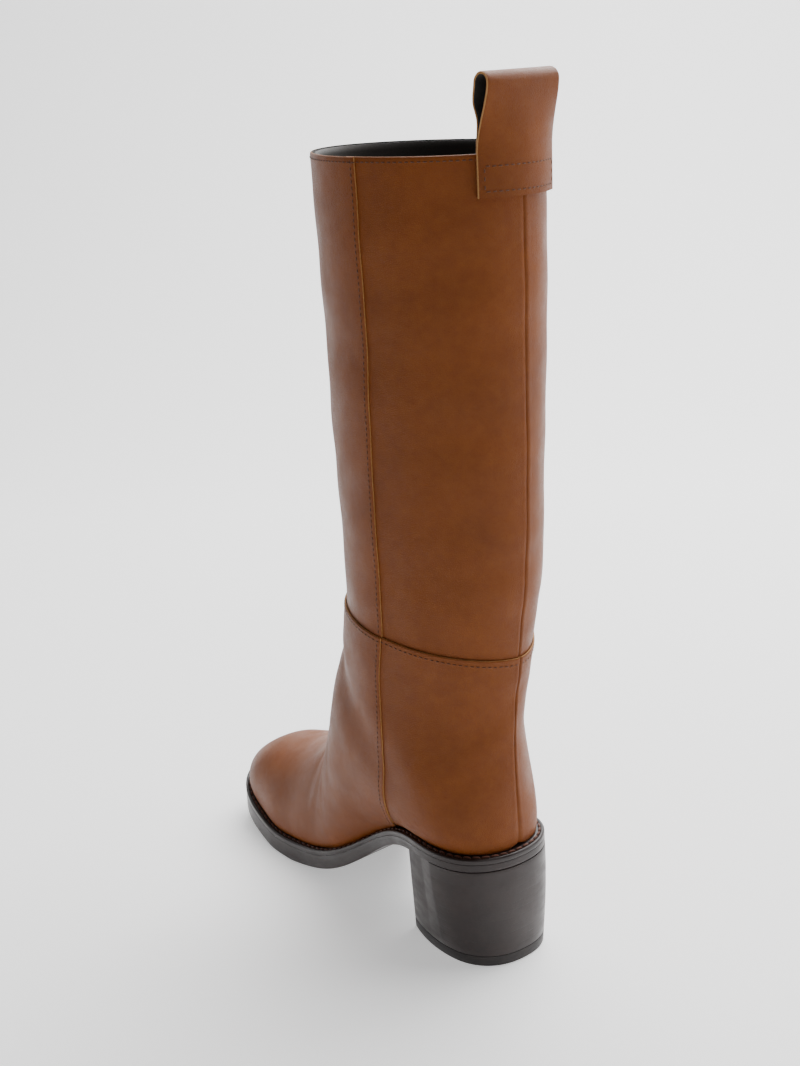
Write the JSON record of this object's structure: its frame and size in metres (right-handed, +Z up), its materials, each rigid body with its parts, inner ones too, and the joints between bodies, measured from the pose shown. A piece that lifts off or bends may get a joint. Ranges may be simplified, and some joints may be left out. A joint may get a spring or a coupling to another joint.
{
  "type": "knee-high boot",
  "caption": "Left knee-high pull-on boot in tan leather with a rounded toe, dark welted sole, tall stacked block heel and a pull loop at the back of the collar.",
  "frame": {"origin": "centre of the heel's floor face, on the floor", "axes": "+Z up, -Y towards the toe, +X towards the outer (lateral) side of this left boot"},
  "size_m": [0.1229, 0.2779, 0.4663],
  "materials": {
    "leather_tan": "satin",
    "leather_edge_tan": "matte",
    "lining_dark": "matte",
    "thread_brown": "matte",
    "welt_dark": "satin",
    "outsole_dark": "satin",
    "heel_stack": "satin",
    "rubber_black": "matte"
  },
  "bodies": {
    "root": {"upper": "leather_tan", "shaft": "leather_tan", "pull_loop": "leather_tan", "welt": "welt_dark", "insole": "lining_dark", "outsole": "outsole_dark", "heel": "heel_stack", "top_piece": "rubber_black"}
  },
  "joints": []
}
